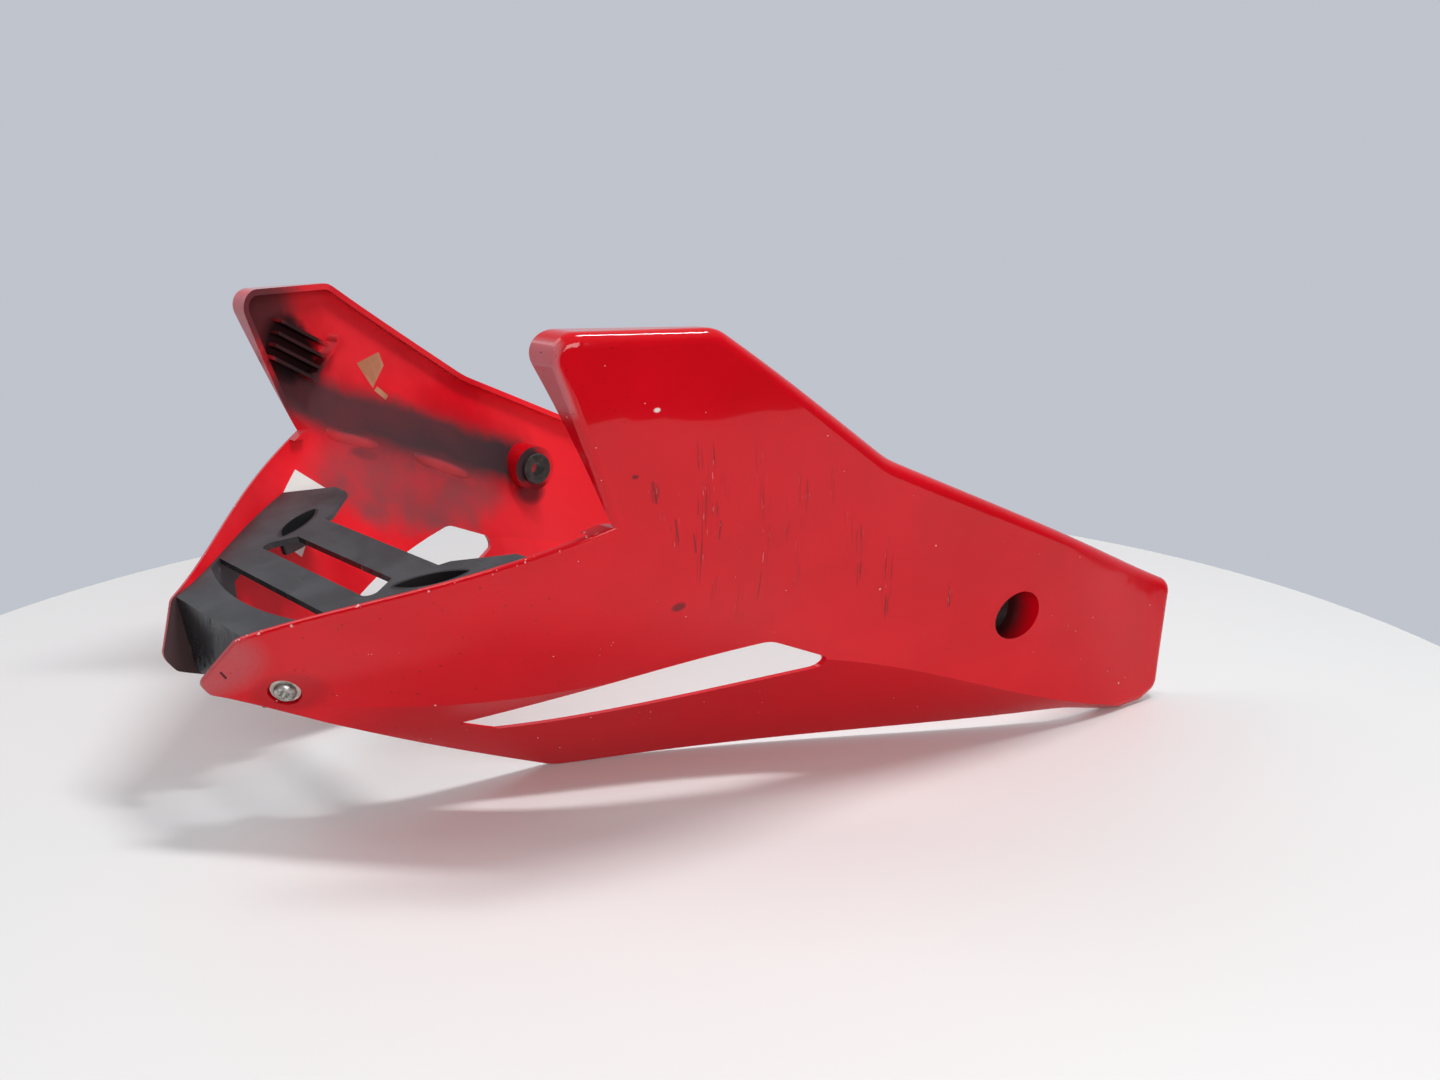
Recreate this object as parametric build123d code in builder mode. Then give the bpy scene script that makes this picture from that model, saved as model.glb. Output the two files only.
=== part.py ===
from build123d import *
from collections import namedtuple
import os

os.makedirs("parts", exist_ok=True)

# Motorcycle belly pan, in millimetres. X is across, -Y is forward and +Z is up.
# The origin is on the floor, under the middle of the pan.

# Panel moulding
wall = 3.2  # measured across, along X
rim_radius = 5
arm_rim_radius = 1.2
flange_depth = 9
front_lip_depth = 20
fit = 0.4
notch_lip = 4
open_reach = 40

# Corners of a panel's side outline, as (Y, Z), each with its own rounding
wing_front = (-132.7, 211)
wing_rear = (-68.2, 210.5)
bend = (18.8, 151)
tail_top = (219.8, 63)
tail_bottom = (215.8, 5)
foot_rear = (203, 0)
foot_front = (181.8, 0)
arch = (147.8, 8)
keel_corner = (-74.2, 0)
nose_bottom = (-215.8, 61)
nose_tip = (-220.2, 67.5)
nose_top = (-209.2, 87.5)
notch = (-101.2, 135)
wing_front_round = 9
wing_rear_round = 14
bend_round = 60
tail_round = 8
foot_round = 6
arch_round = 60
keel_round = 25
nose_round = 5

# Cross-sections of the outer skin, evenly spaced from the nose to the tail
Station = namedtuple("Station", "shoulder_x bulge crease_x crease_z keel_x keel_z")
stations = [
    Station(68, 16, 6, 43, 0, 30),
    Station(136, 9, 62, 52, 32, 20),
    Station(166, 14, 108, 57, 47, -6),
    Station(183, 9, 138, 58, 84, -6),
    Station(191, 7, 166, 39, 127, -6),
    Station(195, 2.5, 187, 13, 168, -2),
    Station(198, 1, 195, -13, 188, -22),
]
first_station_y = -228.2
station_pitch = 75
shoulder_z = 216
core_x = -40
span = max(station.shoulder_x for station in stations) - core_x + open_reach

# Long slot in the lower side
slot_front = (-129.2, 39.5)
slot_top = (-15.2, 69.5)
slot_rear = (22.8, 53)
slot_low = (-112.2, 33.5)
slot_top_sag = 4
slot_low_sag = 4
slot_top_round = 14
slot_round = 4

# Rear mounting cups, as (Y, Z), and their rubber grommets; the right cup is higher and further forward
left_cup = (101.8, 67)
right_cup = (60, 90)
cup_bore = 24
cup_wall = 2
cup_depth = 18
cup_floor = 2.5
grommet_seat = 13
grommet_flange = 19.4
grommet_flange_thick = 3
grommet_edge = 0.8
grommet_bore = 9

# Front screw, driven square to its dimple
screw_point = (35.5, -191.2, 60)
screw_axis = (0.72, -0.56, -0.41)
dimple_bore = 14
dimple_depth = 3
dimple_floor = 2.5
dimple_wall = 2
dimple_reach = 20
pad_drop = 20
screw_clearance_hole = 5.6
screw_thread = 4.8
screw_head = 9.5
screw_head_high = 2.75
screw_head_dome = 2
screw_length = 15
socket_core = 3.5
socket_lobe = 0.9
socket_lobes = 6
socket_deep = 1.6
washer_outside = 12.5
washer_thick = 1.2
insert_outside = 7
insert_length = 8
insert_play = 0.1
lug_high = 24
lug_boss = 13
lug_length = 15
lug_rim = 1.5

# Rib bracket inside the wing
bracket_y = -95.2
bracket_z = 177
bracket_tilt = -29
rib_count = 4
rib_pitch = 6.7
rib_length = 32
rib_thick = 1.8
rib_high = 12
cross_length = 27
cross_turn = -20
post_size = 5

# Centre grille; its top is a sloping plane, laid out as (X, distance up the slope)
louvre_front = (-206.7, 88)
louvre_slope = 13.5
louvre_length = 81
plate = 2.5
nose_low = (-206.7, 59)
rail_deep = 13
rail_turn = (-172.2, 83)
rail_nose = (-178.2, 59)
first_gap_front = 15
first_gap_rear = 30
first_gap_half = 62
first_gap_bow = 11
second_gap_front = 47
second_gap_rear = 63
second_gap_front_half = 56
second_gap_rear_half = 46
gap_round = 4
tab_corners = [(62, 46), (49, 66), (56, 86), (78, 105), (92, 106), (125, 80), (95, 40)]
tab_rise = 6
tab_taper = 40
pocket_front = (54, 59)
pocket_rear = (73, 85)
pocket_inner = (58.5, 73)
pocket_outer = (68.5, 68)
pocket_deep = 6


# Outer skin: one half of the pan as a solid, from the middle out to the painted face
with BuildPart() as skin:
    for index, s in enumerate(stations):
        with BuildSketch(Plane.XZ.offset(-first_station_y - index * station_pitch)):
            with BuildLine():
                shoulder = (s.shoulder_x, shoulder_z)
                crease = (s.crease_x, s.crease_z)
                belly_x = (s.shoulder_x + s.crease_x) / 2 + s.bulge
                ThreePointArc(crease, (belly_x, (shoulder_z + s.crease_z) / 2), shoulder)
                Polyline(shoulder, (core_x, shoulder_z), (core_x, s.keel_z), (s.keel_x, s.keel_z), crease)
            make_face()
    loft()


def skin_moved_in(depth):
    return Pos(-depth, 0, 0) * skin.part


def skin_x(y, z):
    probe = Edge.make_line((core_x, y, z), (span, y, z))
    return max(point.X for point in (probe & skin.part).vertices())


# Painted outside of the left panel, trimmed to its side outline and rounded along the rims
with BuildPart() as trimmed:
    add(skin.part)
    with BuildSketch(Plane.YZ.offset(core_x)):
        with BuildLine():
            FilletPolyline(
                wing_front, wing_rear, bend, tail_top, tail_bottom, foot_rear, foot_front, arch,
                keel_corner, nose_bottom, nose_tip, nose_top, notch,
                radius=[
                    wing_front_round, wing_rear_round, bend_round, tail_round, tail_round, foot_round,
                    foot_round, arch_round, keel_round, nose_round, nose_round, nose_round, 0,
                ],
                close=True,
            )
        make_face()
    extrude(amount=span, mode=Mode.INTERSECT)
    side = trimmed.faces().filter_by(GeomType.BSPLINE).sort_by(SortBy.AREA)[-1]
    high_edges = side.edges().filter_by(lambda edge: edge.center().Z > nose_top[1])
    fillet(high_edges.filter_by(lambda edge: edge.center().Y > wing_front[0]), rim_radius)
    side = trimmed.faces().filter_by(GeomType.BSPLINE).sort_by(SortBy.AREA)[-1]
    front_edges = side.edges().filter_by(lambda edge: edge.center().Y < wing_front[0])
    fillet(front_edges.filter_by(lambda edge: edge.center().Z > nose_tip[1] + nose_round), arm_rim_radius)


# Hollow behind the skin, walled along the wing and the tail, open below and along the arm
with BuildPart() as hollow:
    add(skin_moved_in(wall))
    with BuildSketch(Plane.YZ.offset(core_x)):
        with BuildLine():
            FilletPolyline(
                wing_front, wing_rear, bend, tail_top, (tail_bottom[0], -open_reach),
                (nose_tip[0] - open_reach, -open_reach),
                (nose_tip[0] - open_reach, notch[1] + rim_radius), notch,
                radius=[wing_front_round, wing_rear_round, bend_round, tail_round, 0, 0, 0, 0],
                close=True,
            )
        make_face()
        offset(amount=-wall)
    extrude(amount=span, mode=Mode.INTERSECT)

# Core that ends the flange: even along the tail, deepest at the wing's front corner, none at the notch
with BuildPart() as core:
    add(skin_moved_in(flange_depth))
    with BuildSketch(Plane.YZ.offset(core_x)):
        with BuildLine():
            Polyline(
                (wing_front[0] - open_reach, notch[1]), (wing_rear[0], notch[1]),
                (wing_rear[0], shoulder_z), (wing_front[0] - open_reach, shoulder_z), close=True,
            )
        make_face()
    extrude(amount=span, mode=Mode.SUBTRACT)
    for corner, z, lip in ((notch, notch[1], notch_lip), (wing_front, shoulder_z, front_lip_depth)):
        with BuildSketch(Plane.XY.offset(z)):
            with BuildLine():
                Polyline(
                    (core_x, wing_front[0]), (skin_x(*corner) - lip, wing_front[0]),
                    (skin_x(wing_rear[0], corner[1]) - flange_depth, wing_rear[0]), (core_x, wing_rear[0]),
                    close=True,
                )
            make_face()
    loft(ruled=True)

# Screw dimple, square to the nose's surface, and the pad behind it
along_arm = (-screw_axis[1], screw_axis[0], 0)
screw_plane = Plane(origin=screw_point, x_dir=along_arm, z_dir=screw_axis).offset(-dimple_depth)
pad_wide = dimple_bore + 2 * dimple_wall
pad_high = pad_wide / 2 + pad_drop


def cup_floor_x(cup):
    return skin_x(*cup) - cup_depth


# One side panel as it lies on the left, with its rear cup at the given place
def panel(cup):
    # What stands on the inside of the skin: the rib bracket, the rear cup and the dimple's pad
    with BuildPart() as standing:
        with BuildSketch(Plane.YZ.offset(core_x)):
            with Locations(Location((bracket_y, bracket_z, 0), (0, 0, bracket_tilt))):
                with GridLocations(0, rib_pitch, 1, rib_count):
                    Rectangle(rib_length, rib_thick)
                cross_at = (rib_length / 2 + rib_thick, rib_pitch / 2, 0)
                with Locations(Location(cross_at, (0, 0, cross_turn))):
                    Rectangle(rib_thick, cross_length)
                    with GridLocations(0, cross_length, 1, 2):
                        Circle(post_size / 2)
        extrude(amount=span)
        add(skin_moved_in(wall + rib_high), mode=Mode.SUBTRACT)
        with BuildSketch(Plane.YZ.offset(cup_floor_x(cup))):
            with Locations(cup):
                Circle(cup_bore / 2 + cup_wall)
        extrude(amount=span)
        with BuildSketch(screw_plane.offset(-dimple_floor)):
            with Locations((0, pad_wide / 2)):
                Rectangle(pad_wide, pad_high, align=(Align.CENTER, Align.MAX))
        extrude(amount=dimple_reach)

    with BuildPart() as inside:
        add(hollow.part)
        add(core.part)
        add(standing.part, mode=Mode.SUBTRACT)

    with BuildPart() as walled:
        add(trimmed.part)
        add(inside.part, mode=Mode.SUBTRACT)
        with BuildSketch(Plane.YZ) as slot:
            with BuildLine():
                upper = Line(slot_front, slot_top, mode=Mode.PRIVATE)
                lower = Line(slot_rear, slot_low, mode=Mode.PRIVATE)
                ThreePointArc(slot_front, upper @ 0.5 + (0, slot_top_sag), slot_top)
                Line(slot_top, slot_rear)
                ThreePointArc(slot_rear, lower @ 0.5 - (0, slot_low_sag), slot_low)
                Line(slot_low, slot_front)
            make_face()
            fillet(slot.vertices().group_by(Axis.Y)[-1], slot_top_round)
            fillet(slot.vertices().group_by(Axis.X)[-1], slot_round)
        extrude(amount=span, mode=Mode.SUBTRACT)
        with BuildSketch(Plane.YZ.offset(cup_floor_x(cup) + cup_floor)):
            with Locations(cup):
                Circle(cup_bore / 2)
        extrude(amount=span, mode=Mode.SUBTRACT)
        with BuildSketch(Plane.YZ.offset(cup_floor_x(cup))):
            with Locations(cup):
                Circle(grommet_seat / 2)
        extrude(amount=cup_floor, mode=Mode.SUBTRACT)
        with BuildSketch(screw_plane):
            Circle(dimple_bore / 2)
        extrude(amount=dimple_reach, mode=Mode.SUBTRACT)
        with BuildSketch(screw_plane):
            Circle(screw_clearance_hole / 2)
        extrude(amount=-dimple_floor, mode=Mode.SUBTRACT)
    return walled.part


left_side = panel(left_cup)
right_side = panel(right_cup)
with BuildPart() as left_panel:
    add(left_side)
with BuildPart() as right_panel:
    mirror(right_side, about=Plane.YZ)

# Space under the grille's top, between its nose face and its side rails
louvre = Plane(origin=(0, *louvre_front)).rotated((louvre_slope, 0, 0))
louvre_rear = louvre.from_local_coords((0, louvre_length, 0))
with BuildPart() as under:
    add(skin_moved_in(wall + fit + plate))
    with BuildSketch(Plane.YZ.offset(core_x)):
        with BuildLine():
            nose_inside = (louvre_front[0] + plate, louvre_front[1] - plate)
            Polyline(
                nose_inside, (louvre_rear.Y + plate, louvre_rear.Z - plate),
                (louvre_rear.Y + plate, -open_reach), (nose_inside[0], -open_reach), close=True,
            )
        make_face()
    extrude(amount=span, mode=Mode.INTERSECT)

with BuildPart() as gaps:
    with BuildSketch(louvre):
        with BuildLine():
            gap_end = (first_gap_half, first_gap_front + first_gap_bow)
            ThreePointArc((-gap_end[0], gap_end[1]), (0, first_gap_front), gap_end)
            Polyline(
                gap_end, (first_gap_half + gap_round, first_gap_rear),
                (-first_gap_half - gap_round, first_gap_rear), (-gap_end[0], gap_end[1]),
            )
        make_face()
        with BuildLine():
            FilletPolyline(
                (second_gap_front_half, second_gap_front), (second_gap_rear_half, second_gap_rear),
                (-second_gap_rear_half, second_gap_rear), (-second_gap_front_half, second_gap_front),
                radius=[gap_round, 0, 0, gap_round], close=True,
            )
        make_face()
    extrude(amount=2 * plate, both=True)
    add(skin_moved_in(wall + fit + plate), mode=Mode.INTERSECT)

# Raised tab at each rear corner of the grille, with a scooped pocket beside the panel
with BuildSketch(louvre) as pocket:
    with BuildLine():
        ThreePointArc(pocket_front, pocket_inner, pocket_rear)
        ThreePointArc(pocket_rear, pocket_outer, pocket_front)
    make_face()

with BuildPart() as tab:
    with BuildSketch(louvre):
        Polygon(*tab_corners, align=None)
    extrude(amount=tab_rise, taper=tab_taper)
    with BuildSketch(louvre):
        Polygon(
            pocket_front, pocket_outer, pocket_rear,
            (pocket_rear[0] + open_reach, pocket_rear[1] - open_reach),
            (pocket_front[0] + open_reach, pocket_front[1] - open_reach), align=None,
        )
    extrude(amount=tab_rise, mode=Mode.SUBTRACT)
    with BuildSketch(louvre):
        Polygon(*tab_corners, align=None)
    extrude(amount=-plate)
    with BuildSketch(louvre):
        add(pocket.sketch_local)
        offset(amount=plate)
    extrude(amount=-pocket_deep - plate)
    add(skin_moved_in(wall + fit), mode=Mode.INTERSECT)

# Lug behind the screw dimple; its rim stands round the dimple's pad and joins the side rail
with BuildPart() as lug:
    with BuildSketch(screw_plane.offset(-dimple_floor - plate)):
        with Locations((0, pad_wide / 2 + fit + plate)):
            Rectangle(pad_wide + 2 * fit + 2 * plate, lug_high, align=(Align.CENTER, Align.MAX))
    extrude(amount=plate + lug_rim)
    with BuildSketch(screw_plane.offset(-lug_length)):
        Circle(lug_boss / 2)
    extrude(amount=lug_length - dimple_floor)

with BuildPart() as half_grille:
    add(skin_moved_in(wall + fit))
    with BuildSketch(Plane.YZ.offset(core_x)):
        with BuildLine():
            Polyline(
                louvre_front, (louvre_rear.Y, louvre_rear.Z), (louvre_rear.Y, louvre_rear.Z - rail_deep),
                rail_turn, rail_nose, nose_low, close=True,
            )
        make_face()
    extrude(amount=span, mode=Mode.INTERSECT)
    add(under.part, mode=Mode.SUBTRACT)
    add(tab.part)
    add(gaps.part, mode=Mode.SUBTRACT)
    add(lug.part)
    extrude(pocket.sketch, amount=tab_rise, mode=Mode.SUBTRACT)
    extrude(pocket.sketch, amount=-pocket_deep, mode=Mode.SUBTRACT)
    with BuildSketch(screw_plane.offset(-dimple_floor)):
        with Locations((0, pad_wide / 2 + fit)):
            Rectangle(pad_wide + 2 * fit, pad_high + 2 * fit, align=(Align.CENTER, Align.MAX))
    extrude(amount=dimple_reach, mode=Mode.SUBTRACT)
    with BuildSketch(screw_plane.offset(-dimple_floor)):
        Circle(insert_outside / 2 + insert_play)
    extrude(amount=-lug_length, mode=Mode.SUBTRACT)
    split(bisect_by=Plane.YZ)

with BuildPart() as centre_grille:
    add(half_grille.part)
    mirror(half_grille.part, about=Plane.YZ)


# Rubber grommet clipped through the floor of a rear cup
def grommet(cup):
    floor_x = cup_floor_x(cup)
    with BuildPart() as bush:
        for x in (floor_x - grommet_flange_thick, floor_x + cup_floor):
            with BuildSketch(Plane.YZ.offset(x)):
                with Locations(cup):
                    Circle(grommet_flange / 2)
            extrude(amount=grommet_flange_thick)
        fillet(bush.edges().filter_by(GeomType.CIRCLE), grommet_edge)
        with BuildSketch(Plane.YZ.offset(floor_x)):
            with Locations(cup):
                Circle(grommet_seat / 2)
        extrude(amount=cup_floor)
        with BuildSketch(Plane.YZ.offset(floor_x - grommet_flange_thick)):
            with Locations(cup):
                Circle(grommet_bore / 2)
        extrude(amount=span, mode=Mode.SUBTRACT)
    return bush.part


left_bush = grommet(left_cup)
right_bush = grommet(right_cup)
with BuildPart() as left_grommet:
    add(left_bush)
with BuildPart() as right_grommet:
    mirror(right_bush, about=Plane.YZ)

# Washer, button-head screw and threaded insert on the dimple's axis
with BuildPart() as left_washer:
    with BuildSketch(screw_plane):
        Circle(washer_outside / 2)
        Circle(screw_clearance_hole / 2, mode=Mode.SUBTRACT)
    extrude(amount=washer_thick)

head_plane = screw_plane.offset(washer_thick)
with BuildPart() as left_screw:
    with BuildSketch(head_plane):
        Circle(screw_head / 2)
    extrude(amount=screw_head_high)
    head_top = left_screw.faces().sort_by(Axis(screw_plane.origin, screw_plane.z_dir))[-1]
    fillet(head_top.edges(), screw_head_dome)
    with BuildSketch(head_plane.offset(screw_head_high)):
        Circle(socket_core / 2)
        with PolarLocations(socket_core / 2, socket_lobes):
            Circle(socket_lobe / 2)
    extrude(amount=-socket_deep, mode=Mode.SUBTRACT)
    with BuildSketch(head_plane):
        Circle(screw_thread / 2)
    extrude(amount=-screw_length)

with BuildPart() as left_insert:
    with BuildSketch(screw_plane.offset(-dimple_floor)):
        Circle(insert_outside / 2)
        Circle(screw_thread / 2 + insert_play, mode=Mode.SUBTRACT)
    extrude(amount=-insert_length)

# The right-hand fasteners mirror the left-hand ones
with BuildPart() as right_washer:
    mirror(left_washer.part, about=Plane.YZ)
with BuildPart() as right_screw:
    mirror(left_screw.part, about=Plane.YZ)
with BuildPart() as right_insert:
    mirror(left_insert.part, about=Plane.YZ)

left_panel.part.label = "left_panel"
export_step(left_panel.part, "parts/left_panel.step")
right_panel.part.label = "right_panel"
export_step(right_panel.part, "parts/right_panel.step")
centre_grille.part.label = "centre_grille"
export_step(centre_grille.part, "parts/centre_grille.step")
left_grommet.part.label = "left_grommet"
export_step(left_grommet.part, "parts/left_grommet.step")
right_grommet.part.label = "right_grommet"
export_step(right_grommet.part, "parts/right_grommet.step")
left_washer.part.label = "left_washer"
export_step(left_washer.part, "parts/left_washer.step")
right_washer.part.label = "right_washer"
export_step(right_washer.part, "parts/right_washer.step")
left_screw.part.label = "left_screw"
export_step(left_screw.part, "parts/left_screw.step")
right_screw.part.label = "right_screw"
export_step(right_screw.part, "parts/right_screw.step")
left_insert.part.label = "left_insert"
export_step(left_insert.part, "parts/left_insert.step")
right_insert.part.label = "right_insert"
export_step(right_insert.part, "parts/right_insert.step")
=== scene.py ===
import math
import bmesh
import bpy
from mathutils import Matrix, Vector
from mathutils.bvhtree import BVHTree


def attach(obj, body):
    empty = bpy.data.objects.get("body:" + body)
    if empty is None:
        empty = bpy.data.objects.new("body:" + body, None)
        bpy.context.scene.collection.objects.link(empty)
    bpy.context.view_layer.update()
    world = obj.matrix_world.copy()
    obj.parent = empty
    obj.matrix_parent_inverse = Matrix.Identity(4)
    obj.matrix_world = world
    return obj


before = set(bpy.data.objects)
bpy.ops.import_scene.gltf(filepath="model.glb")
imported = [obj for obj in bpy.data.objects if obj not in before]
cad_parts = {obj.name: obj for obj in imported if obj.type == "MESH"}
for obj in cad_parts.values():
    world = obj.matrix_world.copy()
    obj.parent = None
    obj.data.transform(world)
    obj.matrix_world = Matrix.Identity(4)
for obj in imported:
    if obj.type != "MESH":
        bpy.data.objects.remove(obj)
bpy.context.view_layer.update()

scene = bpy.context.scene
scene.view_settings.view_transform = "Standard"
print("frame loaded:", len(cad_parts), "nodes")


class Wire:  # a shader socket that takes part in plain sums
    def __init__(self, finish, socket):
        self.finish = finish
        self.socket = socket

    def maths(self, operation, *values):
        return self.finish.node("ShaderNodeMath", {"operation": operation}, values)

    def other(self, output):  # another output of the same node
        return Wire(self.finish, self.socket.node.outputs[output])

    def __add__(self, other):
        return self.maths("ADD", self, other)

    def __radd__(self, other):
        return self.maths("ADD", other, self)

    def __sub__(self, other):
        return self.maths("SUBTRACT", self, other)

    def __rsub__(self, other):
        return self.maths("SUBTRACT", other, self)

    def __mul__(self, other):
        return self.maths("MULTIPLY", self, other)

    def __rmul__(self, other):
        return self.maths("MULTIPLY", other, self)

    def least(self, other):
        return self.maths("MINIMUM", self, other)

    def most(self, other):
        return self.maths("MAXIMUM", self, other)

    def root(self):
        return self.maths("SQRT", self)

    def unsigned(self):
        return self.maths("ABSOLUTE", self)


class Finish:  # the node tree of one material or of the world, with the values it is made from
    def __init__(self, owner, values=()):
        self.owner = owner
        self.values = values
        owner.use_nodes = True
        self.tree = owner.node_tree
        self.tree.nodes.clear()

    def node(self, kind, settings=(), inputs=(), output=0):
        made = self.tree.nodes.new(kind)
        for key, value in dict(settings).items():
            setattr(made, key, value)
        pairs = inputs.items() if isinstance(inputs, dict) else enumerate(inputs)
        for key, value in pairs:
            if isinstance(value, Wire):
                self.tree.links.new(value.socket, made.inputs[key])
            else:
                made.inputs[key].default_value = value
        return Wire(self, made.outputs[output]) if made.outputs else None

    def place(self):  # the point on the piece, in metres in the pan's frame
        return self.node("ShaderNodeTexCoord", output="Object")

    def facing(self):  # the surface's direction
        return self.node("ShaderNodeNewGeometry", output="Normal")

    def split(self, vector):  # its x, y and z
        x = self.node("ShaderNodeSeparateXYZ", inputs=[vector])
        return x, x.other(1), x.other(2)

    def noise(self, where, scale, detail=3.0, rough=0.5):  # one scale, or one for each axis
        scales = scale if isinstance(scale, tuple) else (scale, scale, scale)
        scaled = self.node("ShaderNodeVectorMath", {"operation": "MULTIPLY"}, [where, scales])
        return self.node("ShaderNodeTexNoise", {}, {
            "Vector": scaled, "Scale": 1.0, "Detail": detail, "Roughness": rough})

    def rise(self, value, low, high):  # 0 below low, 1 above high
        return self.node("ShaderNodeMapRange", {"interpolation_type": "SMOOTHSTEP"}, {
            "Value": value, "From Min": low, "From Max": high})

    def grain(self, name, where):  # a noise by its name in the values
        return self.noise(where, *self.values["noise"][name])

    def ramp(self, value, name):  # a rise by its name in the values
        return self.rise(value, *self.values["ramp"][name])

    def colour(self, amount, under, over):  # 6, 7 and output 2 are the mix node's colour sockets
        return self.node("ShaderNodeMix", {"data_type": "RGBA"}, {0: amount, 6: under, 7: over}, 2)

    def coats(self, colour, layers):  # each layer's tone over those before it
        for amount, tone in layers:
            colour = self.colour(amount, colour, tone)
        return colour

    def stain(self, y, z, centre, half, turn=0.0, core=0.25):  # soft ellipse in side view, 1 at its middle
        c, s = math.cos(math.radians(turn)), math.sin(math.radians(turn))
        dy, dz = y - centre[0], z - centre[1]
        along = (dy * c + dz * s) * (1 / half[0])
        across = (dz * c - dy * s) * (1 / half[1])
        return 1 - self.rise(along * along + across * across, core, 1.0)

    def beside(self, y, z, start, end):  # distance to one side of a line in side view
        (y0, z0), (y1, z1) = start, end
        length = math.hypot(y1 - y0, z1 - z0)
        ny, nz = (z1 - z0) / length, -(y1 - y0) / length
        return y * ny + z * nz - (y0 * ny + z0 * nz)

    def patch(self, y, z, corners, soft=0.0002):  # straight-edged patch in side view, corners clockwise
        inside = None
        for start, end in zip(corners, corners[1:] + corners[:1]):
            depth = self.beside(y, z, start, end)
            inside = depth if inside is None else inside.least(depth)
        return self.rise(inside, -soft, soft)

    def away(self, y, z, route):  # distance from a route of straight runs in side view
        nearest = None
        for (y0, z0), (y1, z1) in zip(route, route[1:]):
            ry, rz = y1 - y0, z1 - z0
            dy, dz = y - y0, z - z0
            share = ((dy * ry + dz * rz) * (1 / (ry * ry + rz * rz))).most(0.0).least(1.0)
            gy, gz = dy - share * ry, dz - share * rz
            gap = (gy * gy + gz * gz).root()
            nearest = gap if nearest is None else nearest.least(gap)
        return nearest

    def bump(self, height, strength, distance):
        return self.node("ShaderNodeBump", {}, {
            "Strength": strength, "Distance": distance, "Height": height})

    def close(self, **sockets):  # the shader that ends a material
        inputs = {key.replace("_", " "): value for key, value in sockets.items()}
        shader = self.node("ShaderNodeBsdfPrincipled", {}, inputs)
        self.node("ShaderNodeOutputMaterial", {}, {"Surface": shader})
        return self.owner


def dress(name, material):  # gives a CAD node its finish
    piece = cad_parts[name]
    piece.data.materials.clear()
    piece.data.materials.append(material)


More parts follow.
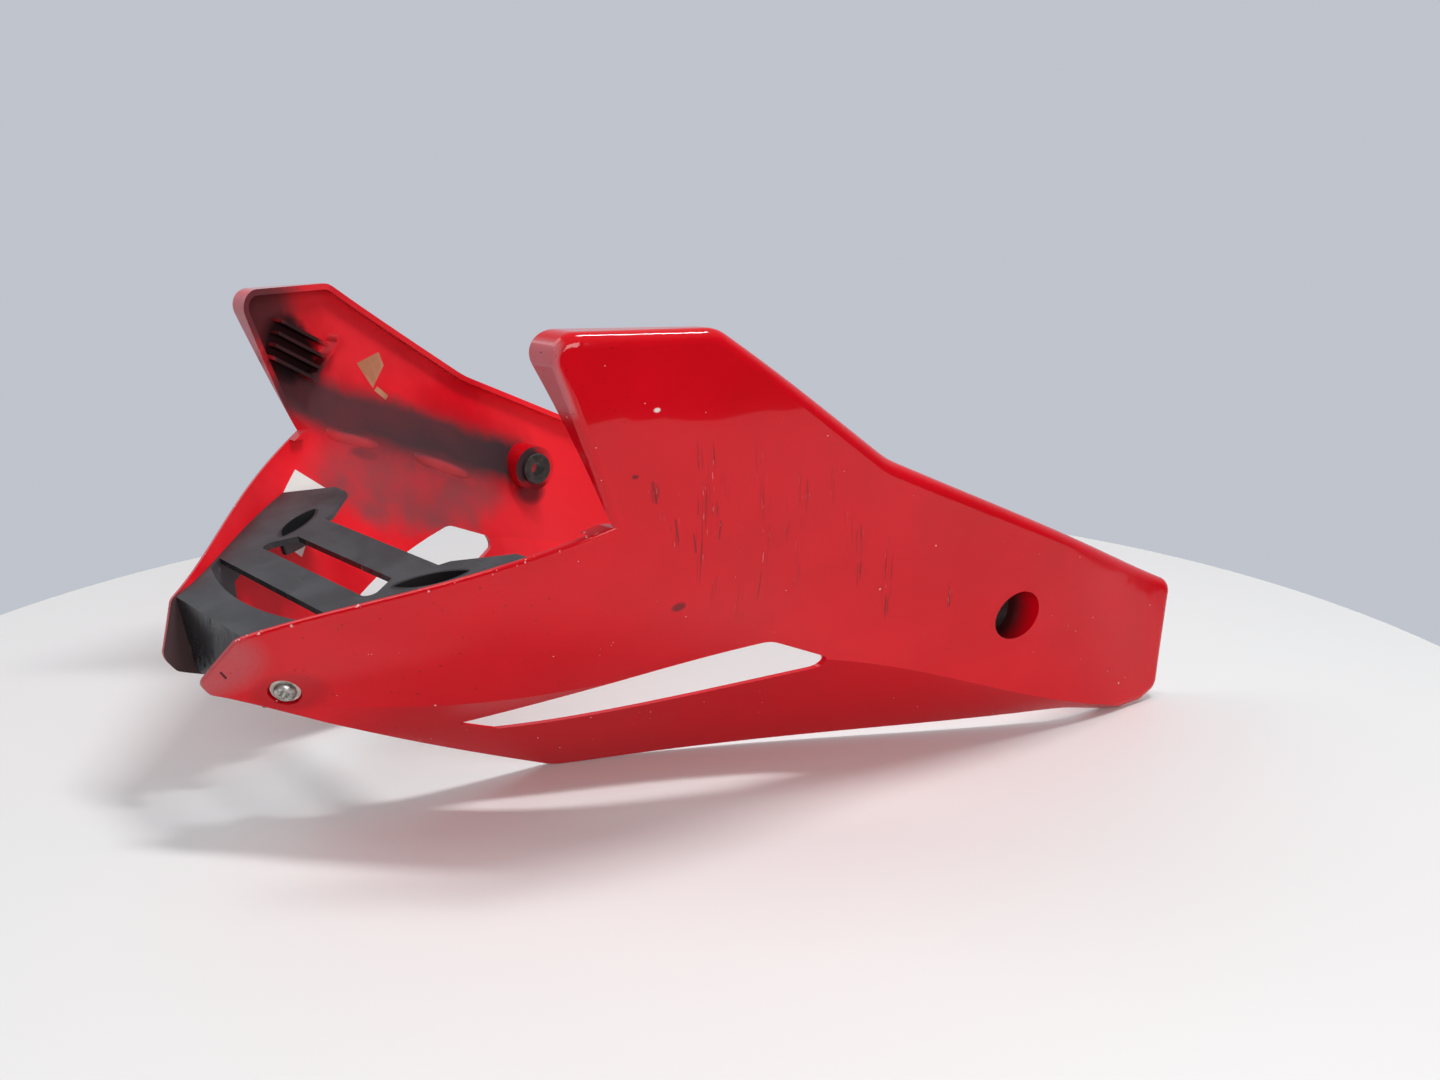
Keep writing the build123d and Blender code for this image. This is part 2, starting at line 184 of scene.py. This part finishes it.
redPaint = {
    "tone": {
        "red": (0.64, 0.001, 0.009, 1),
        "deepRed": (0.57, 0.001, 0.007, 1),
        "darkRed": (0.40, 0.001, 0.006, 1),
        # the inside tones are painted light, lighter than the outside red
        "insideRed": (0.80, 0.012, 0.022, 1),
        "insidePaintedLight": (0.95, 0.020, 0.032, 1),
        # painted reflection and painted highlight
        "paintedSheen": (0.58, 0.15, 0.17, 1),
        "faded": (0.46, 0.090, 0.100, 1),
        "chip": (0.80, 0.66, 0.63, 1),
        "smudge": (0.07, 0.004, 0.008, 1),
        "nearBlack": (0.014, 0.008, 0.009, 1),
        "darkGrey": (0.040, 0.037, 0.038, 1),
        "soot": (0.038, 0.030, 0.035, 1),
        "thinSoot": (0.16, 0.012, 0.016, 1),
        "dustAndSheen": (0.17, 0.058, 0.066, 1),
        "ridge": (0.80, 0.075, 0.085, 1),
        "tape": (0.36, 0.17, 0.09, 1),
        "paleTape": (0.56, 0.34, 0.22, 1),
        "label": (0.74, 0.74, 0.71, 1),
    },
    "noise": {  # scale, detail, roughness
        "cloud": (22, 3.0),
        "grit": (700, 3.0, 0.7),
        "wave": (90, 2.0),  # the slow ripple of sprayed lacquer
        "smoke": (45, 5.0, 0.6),
        "bunches": ((150, 22, 1), 2.0),
        "darkLines": ((1500, 45, 1), 2.0),
        "paleLines": ((1900, 90, 1), 2.0),
        "rimChips": (260, 3.0, 0.7),
        "specks": (420, 1.0),
        "pits": (480, 1.0),
    },
    "ramp": {  # where a mark starts to show, and where it is full
        # by the noise
        "red": (0.3, 0.75),
        "insideRed": (0.35, 0.7),
        "scuff": (0.5, 0.95),
        "bunches": (0.50, 0.62),
        "darkLines": (0.56, 0.63),
        "paleLines": (0.67, 0.71),
        "rimChips": (0.635, 0.672),
        "specks": (0.80, 0.82),
        "pits": (0.745, 0.77),
        "sootSmoke": (0.25, 0.75),
        "dustAndSheenSmoke": (0.3, 0.7),
        "tape": (0.35, 0.65),
        # by how far the face turns that way
        "inside": (0.08, 0.25),
        "bracketFace": (0.3, 0.6),
        "under": (0.45, 0.65),
        "lip": (0.5, 0.8),
        "flange": (0.6, 0.85),
        "edge": (0.3, 0.6),
        # by a distance or a place, in metres
        "cupDepth": (0.003, 0.017),
        "noseScratch": (0.0002, 0.0007),
        "deepScratches": (0.0001, 0.0005),
        "rimTop": (-0.0035, -0.002),
        "rimFoot": (0.0008, 0.0022),
        "rimEnd": (-0.012, -0.002),
        "pitsEnd": (-0.13, -0.08),
        "bright": (0.02, 0.08),
        "thinCoat": (0.04, 0.18),
        "soot": (0.007, 0.0185),
        "thinSoot": (0.012, 0.030),
        "denseSoot": (0.0, 0.045),
        "highDustAndSheen": (0.13, 0.17),
    },
    "share": {  # how much of its tone each mark gives
        "under": 0.6,
        "screwSpot": 0.7,
        "lip": 0.7,
        "cup": 0.95,
        "paintedSheen": 0.85,
        "edge": 0.35,
        "bunches": 0.5,
        "darkLines": 0.75,
        "paleLines": 0.35,
        "deepScratches": 0.7,
        "smudges": 0.75,
        "rimChips": 0.7,
        "specks": 0.8,
        "pits": 0.8,
        "darkNoseInside": 0.97,
        "sootCorner": 0.85,
        "underRidge": 0.4,
        "dustAndSheen": 0.85,
        "highDustAndSheen": 0.22,
        "thinSoot": 0.6,
        "ridges": 0.35,
        "shadowAndSootUnderBoss": 0.8,
        "bracket": 0.97,
        "tape": 0.92,
    },
    "patchy": {  # least share, and how much its noise or place adds
        "scuff": (0.55, 0.45),
        "soot": (0.90, 0.08),
        "dustAndSheen": (0.65, 0.35),
    },
    "rough": {"outside": (0.10, 0.05), "inside": (0.30, 0.12)},  # least, and what the cloud adds
    "roughen": {"paintedSheen": 0.25, "scuff": 0.38, "chips": 0.3, "soot": 0.3, "patches": 0.25},
    "coat": {"full": 0.45, "rubbedOff": 0.35, "thinned": 0.5, "lipLoss": 0.8, "rough": 0.03},
    "relief": {"wave": 0.7, "grit": 0.3, "chips": 1.5, "strength": 0.08, "height": 0.0002},
    "specular": 0.12,
    "drift": 0.016,  # how far smoke bends an outline
    "scuffGrit": 0.5,
    "spot": {  # soft ellipses: middle, half lengths, turn in degrees, part that is full
        "noseScuff": ((-0.2165, 0.0755), (0.021, 0.020), 0, 0.15),
        "screwSpot": ((-0.1895, 0.0600), (0.0150, 0.0120), 0, 0.3),
        "lip": ((-0.103, 0.134), (0.012, 0.004), 20, 0.4),
        "flangeSheen": ((-0.123, 0.195), (0.018, 0.018), 0, 0.3),
        "scratches": ((-0.010, 0.125), (0.060, 0.048), 0, 0.2),
        "whiteChip": ((-0.0918, 0.1813), (0.0015, 0.0011)),
        "frontSmudge": ((-0.0964, 0.1556), (0.0016, 0.0011)),
        "rearSmudge": ((-0.0652, 0.0949), (0.0035, 0.0028)),
        "darkNoseInside": ((-0.209, 0.070), (0.026, 0.024), 0, 0.45),
        "bracket": ((-0.0965, 0.1765), (0.0240, 0.0205), -29, 0.35),
        "sootCorner": ((-0.118, 0.200), (0.036, 0.024), 0, 0.1),
        "dustAndSheen": ((-0.030, 0.096), (0.085, 0.034), -14, 0.30),
        "shadowAndSootUnderBoss": ((0.063, 0.0730), (0.0170, 0.0100), -12, 0.2),
        "underRidge": ((-0.0610, 0.1168), (0.0120, 0.0042), -22, 0.1),
        "frontRidge": ((-0.0658, 0.1245), (0.0210, 0.0038), -20.5, 0.1),
        "rearRidge": ((-0.0073, 0.1005), (0.0235, 0.0042), -25.5, 0.1),
    },
    "cups": {1: ((0.1018, 0.067), 0.168), -1: ((0.060, 0.090), 0.1597)},  # middle, distance of the floor
    "cupRadius": 0.0124,
    "cupCore": 0.97,
    "bossRadius": 0.02,
    "bossCore": 0.9,
    "armRim": ((-0.2092, 0.0875), (-0.1012, 0.135)),
    "noseScratch": [(-0.2135, 0.0725), (-0.2115, 0.0695)],
    "deepScratches": [
        [(-0.0896, 0.153), (-0.0883, 0.1488)], [(-0.088, 0.1478), (-0.0867, 0.144)],
        [(-0.078, 0.1362), (-0.0743, 0.1265)], [(-0.0685, 0.1285), (-0.0655, 0.1205)],
        [(-0.0587, 0.1335), (-0.0572, 0.1255)],
    ],
    "scratchLean": 0.235,  # how far back a scratch runs for each metre down
    "scratchColumns": [  # place across, lowest and highest point
        (-0.0533, 0.143, 0.154), (-0.0462, 0.122, 0.137), (-0.035, 0.098, 0.172), (-0.0299, 0.121, 0.172),
        (-0.0272, 0.125, 0.136), (-0.0078, 0.089, 0.154), (0.037, 0.092, 0.126), (0.0517, 0.072, 0.118),
        (0.081, 0.075, 0.094),
    ],
    "columnHalf": 0.0026,
    "columnCore": 0.4,
    "sootRoute": [
        (-0.10, 0.157), (-0.079, 0.1440), (-0.05, 0.1335),
        (-0.015, 0.1205), (0.026, 0.1030), (0.052, 0.0935),
    ],
    "tapeKite": [(-0.053, 0.165), (-0.0369, 0.1696), (-0.0349, 0.162), (-0.0451, 0.1504)],
    "tapeStrip": [(-0.0445, 0.149), (-0.042, 0.151), (-0.0356, 0.145), (-0.038, 0.143)],
    "labelPatch": [(-0.140, 0.0945), (-0.1094, 0.1171), (-0.091, 0.103), (-0.122, 0.0775)],
}


class PanelPaint(Finish):  # the paint of one side panel, and the marks on it
    def __init__(self, side):  # 1 is the left panel, -1 the right one
        name = "redPaint" + ("Left" if side > 0 else "Right")
        super().__init__(bpy.data.materials.new(name), redPaint)
        self.side = side
        self.where = self.place()
        self.x, self.y, self.z = self.split(self.where)
        self.nx, self.ny, self.nz = self.split(self.facing())
        self.cloud = self.grain("cloud", self.where)
        self.grit = self.grain("grit", self.where)
        self.smoke = self.grain("smoke", self.where)
        self.drift = (self.smoke - 0.5) * redPaint["drift"]
        self.bracket = self.smokySpot("bracket")
        hiddenBracket = self.bracket * (1 - self.ramp(self.nx * side, "bracketFace"))
        self.inner = self.ramp(self.nx * -side, "inside").most(hiddenBracket)
        self.outer = 1 - self.inner

    def spot(self, name):
        return self.stain(self.y, self.z, *redPaint["spot"][name])

    def smokySpot(self, name):  # a spot with a drifting outline
        return self.stain(self.y + self.drift, self.z + self.drift, *redPaint["spot"][name])

    def patchy(self, name, mask):  # never quite even
        least, more = redPaint["patchy"][name]
        return least + mask * more

    def scratch(self, route, name):
        return (1 - self.ramp(self.away(self.y, self.z, route), name)) * self.outer

    def scratches(self):  # fine and upright in loose bunches, a few deep ones: the dark and the pale
        v, share = redPaint, redPaint["share"]
        across = self.y + self.z * v["scratchLean"]
        upright = self.node("ShaderNodeCombineXYZ", inputs=[across, self.z, 0.0])
        field = self.stain(across, self.z, *v["spot"]["scratches"])
        field = field * self.ramp(self.grain("bunches", upright), "bunches") * share["bunches"]
        for place, low, high in v["scratchColumns"]:
            middle, half = (place, (low + high) / 2), (v["columnHalf"], (high - low) / 2)
            field = field.most(self.stain(across, self.z, middle, half, 0, v["columnCore"]))
        field = field * self.outer
        dark = self.ramp(self.grain("darkLines", upright), "darkLines") * field * share["darkLines"]
        pale = self.ramp(self.grain("paleLines", upright), "paleLines") * field * share["paleLines"]
        for route in v["deepScratches"]:
            dark = dark.most(self.scratch(route, "deepScratches") * share["deepScratches"])
        return dark.most(self.scratch(v["noseScratch"], "noseScratch")), pale

    def chips(self):  # along the arm's rim, stone specks and one larger chip
        share = redPaint["share"]
        rimFront, rimRear = redPaint["armRim"]
        below = self.beside(self.y, self.z, rimFront, rimRear)
        nearRim = self.ramp(below, "rimTop") * (1 - self.ramp(below, "rimFoot"))
        nearRim = nearRim * (1 - self.ramp(self.y - rimRear[0], "rimEnd"))
        rimChips = nearRim * self.ramp(self.grain("rimChips", self.where), "rimChips") * share["rimChips"]
        specks = self.ramp(self.grain("specks", self.where), "specks") * self.outer * share["specks"]
        return rimChips.most(specks).most(self.spot("whiteChip") * self.outer)

    def pits(self):  # dark and small, towards the nose
        pits = self.ramp(self.grain("pits", self.where), "pits") * self.outer
        return pits * (1 - self.ramp(self.y, "pitsEnd"))

    def paintedCupShade(self):  # painted shade in the rear cup, darker with its depth
        middle, floorX = redPaint["cups"][self.side]
        radius = redPaint["cupRadius"]
        cup = self.stain(self.y, self.z, middle, (radius, radius), 0, redPaint["cupCore"])
        return cup * (1 - self.ramp(self.x * self.side - floorX, "cupDepth"))

    def paintedRimHighlight(self):  # painted highlight on the narrow faces round the panel, but not on the bracket and the boss
        middle, radius = redPaint["cups"][self.side][0], redPaint["bossRadius"]
        edge = (1 - self.ramp(self.nx.unsigned(), "edge")) * (1 - self.bracket)
        return edge * (1 - self.stain(self.y, self.z, middle, (radius, radius), 0, redPaint["bossCore"]))

    def sooted(self, colour, rough):  # soot of the exhaust, painted shadow under the boss, dust with a painted sheen, painted highlights on the ridges, torn tape and a blank label
        v, tone, share = redPaint, redPaint["tone"], redPaint["share"]
        reach = self.away(self.y, self.z, v["sootRoute"]) + self.drift
        thick = (1 - self.ramp(reach, "soot")) * self.patchy("soot", self.ramp(self.y, "denseSoot"))
        thick = thick.most(self.smokySpot("sootCorner") * share["sootCorner"])
        thick = thick.most(self.spot("underRidge") * share["underRidge"])
        thin = (1 - self.ramp(reach, "thinSoot")) * self.ramp(self.smoke, "sootSmoke")
        dustAndSheen = self.smokySpot("dustAndSheen") * self.patchy("dustAndSheen", self.ramp(self.smoke, "dustAndSheenSmoke"))
        dustAndSheen = dustAndSheen.most(self.ramp(self.z, "highDustAndSheen") * share["highDustAndSheen"])
        ridges = self.spot("frontRidge").most(self.spot("rearRidge"))
        kite, strip, label = (
            self.patch(self.y, self.z, v[name]) for name in ("tapeKite", "tapeStrip", "labelPatch"))
        tape = kite.most(strip)
        tapeTone = self.colour(self.ramp(self.smoke, "tape"), tone["tape"], tone["paleTape"])
        colour = self.coats(colour, [
            # dust with a painted sheen, patchy, and more of it high up
            (dustAndSheen * share["dustAndSheen"], tone["dustAndSheen"]),
            (thin * share["thinSoot"], tone["thinSoot"]),
            (thick, tone["soot"]),
            # painted highlight along the moulded ridges
            (ridges * share["ridges"], tone["ridge"]),
            # painted shadow under the boss, with soot
            (self.spot("shadowAndSootUnderBoss") * share["shadowAndSootUnderBoss"], tone["smudge"]),
            (self.bracket * share["bracket"], tone["nearBlack"]),
            (tape * share["tape"], tapeTone),
            (label, tone["label"]),
        ])
        rough = rough + thick.most(self.bracket) * v["roughen"]["soot"]
        return colour, rough + tape.most(label) * v["roughen"]["patches"]


def paintPanel(side):
    f = PanelPaint(side)
    v, tone, share, roughen = redPaint, redPaint["tone"], redPaint["share"], redPaint["roughen"]
    # shaded underside, recess round the screw, lip at the arm's root
    under = f.ramp(f.nz * -1, "under") * f.outer
    lip = f.spot("lip") * f.ramp(f.nz, "lip")
    shaded = (under * share["under"]).most(f.spot("screwSpot") * f.outer * share["screwSpot"])
    shaded = shaded.most(lip * share["lip"])
    # painted reflection on the wing's front edge, rubbed nose, scratches and chips
    paintedSheen = f.spot("flangeSheen") * f.ramp(f.ny * -1, "flange")
    rubbed = f.patchy("scuff", f.ramp(f.cloud + f.grit * v["scuffGrit"], "scuff"))
    scuff = f.spot("noseScuff") * f.outer * rubbed
    darkLines, paleLines = f.scratches()
    chips = f.chips().most(paleLines)
    layers = [
        (shaded, tone["darkRed"]),
        # painted shade in the rear cup
        (f.paintedCupShade() * share["cup"], tone["nearBlack"]),
        (paintedSheen * share["paintedSheen"], tone["paintedSheen"]),
    ]
    # painted highlight along the right panel's rims
    if side < 0:
        layers.append((f.paintedRimHighlight() * share["edge"], tone["paintedSheen"]))
    layers += [(scuff, tone["faded"]), (darkLines, tone["smudge"])]
    for smudge in ("frontSmudge", "rearSmudge"):
        layers.append((f.spot(smudge) * f.outer * share["smudges"], tone["smudge"]))
    layers += [(f.pits() * share["pits"], tone["smudge"]), (chips, tone["chip"])]
    outside = f.coats(f.colour(f.ramp(f.cloud, "red"), tone["deepRed"], tone["red"]), layers)
    least, more = v["rough"]["outside"]
    rough = least + f.cloud * more
    rough = rough + paintedSheen * roughen["paintedSheen"] + scuff * roughen["scuff"] + chips * roughen["chips"]
    # satin inside with painted light: lighter than the outside red, and lighter still towards the tail;
    # sooted on the right
    inside = f.coats(f.colour(f.ramp(f.cloud, "insideRed"), tone["insideRed"], tone["red"]), [
        (f.ramp(f.y, "bright"), tone["insidePaintedLight"]),
        # the inside of the nose is darkened
        (f.spot("darkNoseInside") * share["darkNoseInside"], tone["darkGrey"]),
    ])
    least, more = v["rough"]["inside"]
    insideRough = least + f.cloud * more
    if side < 0:
        inside, insideRough = f.sooted(inside, insideRough)
    # clear coat, thinner below and towards the tail
    coat, relief = v["coat"], v["relief"]
    thinned = under.most(f.ramp(f.y, "thinCoat")) * coat["thinned"]
    gloss = f.outer * (coat["full"] - scuff * coat["rubbedOff"]) * (1 - thinned) * (1 - lip * coat["lipLoss"])
    height = f.grain("wave", f.where) * relief["wave"] + f.grit * relief["grit"] - chips * relief["chips"]
    return f.close(
        Base_Color=f.colour(f.inner, outside, inside),
        Roughness=rough * f.outer + insideRough * f.inner,
        Specular_IOR_Level=v["specular"],
        Coat_Weight=gloss,
        Coat_Roughness=coat["rough"],
        Normal=f.bump(height, relief["strength"], relief["height"]),
    )


grillePlastic = {
    "tone": {
        "grey": (0.028, 0.029, 0.033, 1),
        "worn": (0.050, 0.052, 0.058, 1),
        "polished": (0.013, 0.014, 0.016, 1),
        "scratch": (0.17, 0.16, 0.11, 1),
        "dust": (0.16, 0.15, 0.14, 1),
        "hollow": (0.004, 0.004, 0.005, 1),
    },
    "noise": {  # scale, detail, roughness
        "cloud": (45, 4.0, 0.6),
        "grain": (1500, 2.0),
        "rubbed": ((130, 130, 60), 4.0, 0.7),
        "streaks": ((520, 520, 35), 2.0),
        "scrapes": ((70, 1400, 300), 2.0),
        "dust": (600, 2.0),
    },
    "ramp": {
        "worn": (0.35, 0.7),
        "front": (0.6, 0.8),
        "rubbed": (1.12, 1.18),
        "streaks": (0.64, 0.72),
        "scrapes": (0.70, 0.74),
        "dust": (0.68, 0.74),
    },
    "share": {"rubbed": 0.85, "streaks": 0.55, "scrapes": 0.35, "dust": 0.4, "pocket": 0.92},
    "rubbedSlope": 9,  # the nose is rubbed most high up and to the right
    "pocket": ((0.0635, -0.1372), (0.0170, 0.0066), 53, 0.85),  # painted shade in the pocket, seen from above, on both sides
    "rough": {"least": 0.44, "cloud": 0.16, "rubbed": 0.24, "dust": 0.2},
    "relief": (0.15, 0.0001),  # strength, height
}


def paintGrille():
    v = grillePlastic
    tone, share, rough = v["tone"], v["share"], v["rough"]
    f = Finish(bpy.data.materials.new("grillePlastic"), v)
    where = f.place()
    x, y, z = f.split(where)
    cloud = f.grain("cloud", where)
    front = f.ramp(f.split(f.facing())[1] * -1, "front")
    rubbed = front * f.ramp(f.grain("rubbed", where) + (z - x) * v["rubbedSlope"], "rubbed")
    streaks = f.ramp(f.grain("streaks", where), "streaks") * front
    scrapes = f.ramp(f.grain("scrapes", where), "scrapes") * (1 - front)
    dust = f.ramp(f.grain("dust", where), "dust")
    pocket = f.stain(x.unsigned(), y, *v["pocket"])
    colour = f.coats(f.colour(f.ramp(cloud, "worn"), tone["grey"], tone["worn"]), [
        (rubbed * share["rubbed"], tone["polished"]),
        (streaks * share["streaks"], tone["scratch"]),
        (scrapes * share["scrapes"], tone["dust"]),
        (dust * share["dust"], tone["dust"]),
        # painted shade in the pocket
        (pocket * share["pocket"], tone["hollow"]),
    ])
    roughness = rough["least"] + cloud * rough["cloud"] - rubbed * rough["rubbed"] + dust * rough["dust"]
    normal = f.bump(f.grain("grain", where), *v["relief"])
    return f.close(Base_Color=colour, Roughness=roughness, Normal=normal)


smallParts = {
    "kinds": {  # darker tone, lighter tone, roughness, metal, scale of the mottling
        "grommet": ((0.012, 0.011, 0.010, 1), (0.045, 0.041, 0.036, 1), 0.42, 0.0, 260),
        "washer": ((0.40, 0.38, 0.34, 1), (0.62, 0.60, 0.55, 1), 0.42, 0.15, 300),
        "screw": ((0.26, 0.25, 0.23, 1), (0.60, 0.59, 0.56, 1), 0.26, 0.9, 500),
        "insert": ((0.45, 0.32, 0.12, 1), (0.72, 0.56, 0.27, 1), 0.30, 1.0, 400),
    },
    "mottling": (4.0, 0.6),  # detail, roughness
    "paleFrom": (0.35, 0.68),
    "roughen": 0.15,
    "relief": (0.1, 0.0002),  # strength, height
}


def paintSmall(name):
    v = smallParts
    dark, pale, rough, metal, scale = v["kinds"][name]
    f = Finish(bpy.data.materials.new(name + "Finish"))
    cloud = f.noise(f.place(), scale, *v["mottling"])
    return f.close(
        Base_Color=f.colour(f.rise(cloud, *v["paleFrom"]), dark, pale),
        Roughness=rough + cloud * v["roughen"],
        Metallic=metal,
        Normal=f.bump(cloud, *v["relief"]),
    )


rightPaint = paintPanel(-1)
dress("left_panel", paintPanel(1))
dress("right_panel", rightPaint)
dress("centre_grille", paintGrille())
for small in smallParts["kinds"]:
    smallFinish = paintSmall(small)
    dress("left_" + small, smallFinish)
    dress("right_" + small, smallFinish)
print("finishes done")


ridgeForm = {  # moulded ridges inside the right panel, from end to end in side view
    "runs": {
        "right_ridge_front": ((-0.0840, 0.1322), (-0.0480, 0.1190)),
        "right_ridge_rear": ((-0.0280, 0.1109), (0.0135, 0.0916)),
    },
    "halfWidth": 0.0042,
    "height": 0.0022,
    "sunk": 0.0004,  # how far its edge lies under the panel's face
    "thickness": 0.0010,
    "tip": 0.97,  # where the run is cut off, so that the tips stay blunt
    "steps": (48, 16),
}


def addRidge(name, start, end):
    v = ridgeForm
    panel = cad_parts["right_panel"]
    surface = BVHTree.FromObject(panel, bpy.context.evaluated_depsgraph_get())
    along, across = v["steps"]
    middle = (Vector(start) + Vector(end)) * 0.5
    run = (Vector(end) - Vector(start)) * 0.5
    aside = Vector((-run.y, run.x)).normalized()
    points = []
    for i in range(along + 1):
        s = (2 * i / along - 1) * v["tip"]  # its width and its crown fall away towards the tips
        width = v["halfWidth"] * math.sqrt(1 - s ** 4)
        for j in range(across + 1):
            t = 2 * j / across - 1
            spot = middle + run * s + aside * (width * t)
            hit, normal = surface.ray_cast(Vector((0, spot.x, spot.y)), Vector((-1, 0, 0)))[:2]
            rise = v["height"] * (1 - s ** 6) * (1 - t * t)
            points.append(panel.matrix_world @ (hit + normal * (rise - v["sunk"])))
    row = across + 1
    cells = [i * row + j for i in range(along) for j in range(across)]
    mesh = bpy.data.meshes.new(name)
    mesh.from_pydata(points, [], [(k, k + row, k + row + 1, k + 1) for k in cells])
    if sum(face.normal.x for face in mesh.polygons) < 0:
        mesh.flip_normals()
    mesh.shade_smooth()
    mesh.materials.append(rightPaint)
    ridge = bpy.data.objects.new(name, mesh)
    scene.collection.objects.link(ridge)
    thicken = ridge.modifiers.new("thickness", "SOLIDIFY")
    thicken.thickness = v["thickness"]
    thicken.offset = -1
    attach(ridge, "root")


for ridgeName, ends in ridgeForm["runs"].items():
    addRidge(ridgeName, *ends)
print("ridges done")


studio = {
    "floorColour": (0.79, 0.79, 0.785, 1),
    "floorCentre": (0.03, 0.02, 0.0),
    "floorRadius": 0.455,
    "floorSides": 128,
    "floorRough": 0.5,
    "floorSpecular": 0.2,
    "paleSide": (-0.752, 0.659, 0.0),  # the pale wall is behind the pan, the darker room beside the camera
    "wall": (0.52, 0.55, 0.61, 1),
    "wallEdge": (-0.1, 0.5),
    "room": (0.11, 0.11, 0.115, 1),
    "ceiling": (0.42, 0.42, 0.43, 1),
    "ceilingEdge": (0.3, 0.85),
    "lamps": {  # place, sides, power
        "key": ((0.3, 0.28, 1.35), (0.12, 0.5), 10.0),
        "fill": ((1.3, -0.7, 0.5), (0.7, 0.7), 11.5),
        "side": ((-0.9, -0.8, 1.2), (0.8, 0.8), 5.0),
    },
    "lampAim": (0, 0, 0.08),
}


def addLamp(name, place, sides, power):
    light = bpy.data.lights.new(name, "AREA")
    light.shape = "RECTANGLE"
    light.size, light.size_y = sides
    light.energy = power
    holder = bpy.data.objects.new(name, light)
    holder.location = place
    aim = Vector(studio["lampAim"]) - Vector(place)
    holder.rotation_euler = aim.to_track_quat("-Z", "Y").to_euler()
    scene.collection.objects.link(holder)


def lightRoom():
    v = studio
    f = Finish(bpy.data.worlds.new("studio"))
    direction = f.node("ShaderNodeTexCoord", output="Generated")
    inputs = [direction, v["paleSide"]]
    towards = f.node("ShaderNodeVectorMath", {"operation": "DOT_PRODUCT"}, inputs, "Value")
    height = f.split(direction)[2]
    colour = f.colour(f.rise(towards, *v["wallEdge"]), v["room"], v["wall"])
    colour = f.colour(f.rise(height, *v["ceilingEdge"]), colour, v["ceiling"])
    shader = f.node("ShaderNodeBackground", {}, {"Color": colour, "Strength": 1.0})
    f.node("ShaderNodeOutputWorld", {}, {"Surface": shader})
    scene.world = f.owner
    for name, lamp in v["lamps"].items():
        addLamp(name, *lamp)


floorMesh = bpy.data.meshes.new("floor")
shape = bmesh.new()
bmesh.ops.create_circle(shape, cap_ends=True, segments=studio["floorSides"], radius=studio["floorRadius"])
shape.to_mesh(floorMesh)
shape.free()
floorMesh.materials.append(Finish(bpy.data.materials.new("paleFloor")).close(
    Base_Color=studio["floorColour"],
    Roughness=studio["floorRough"],
    Specular_IOR_Level=studio["floorSpecular"],
))
floor =bpy.data.objects.new("floor", floorMesh)
floor.location = studio["floorCentre"]
scene.collection.objects.link(floor)
lightRoom()
print("studio done")


view = {
    "place": (0.5351, -0.3921, 0.2591),
    "right": (0.6593, 0.7518, 0.0),
    "up": (-0.1918, 0.1682, 0.9668),
    "back": (0.7268, -0.6376, 0.2551),
    "lens": 33.075,
    "sensor": 36,
    "nearest": 0.01,
}
camera = bpy.data.cameras.new("camera")
camera.sensor_width = view["sensor"]
camera.sensor_fit = "HORIZONTAL"
camera.lens = view["lens"]
camera.clip_start = view["nearest"]
cameraHolder = bpy.data.objects.new("camera", camera)
turn = Matrix((view["right"], view["up"], view["back"])).transposed()
cameraHolder.matrix_world = Matrix.Translation(view["place"]) @ turn.to_4x4()
scene.collection.objects.link(cameraHolder)
scene.camera = cameraHolder
print("camera done")
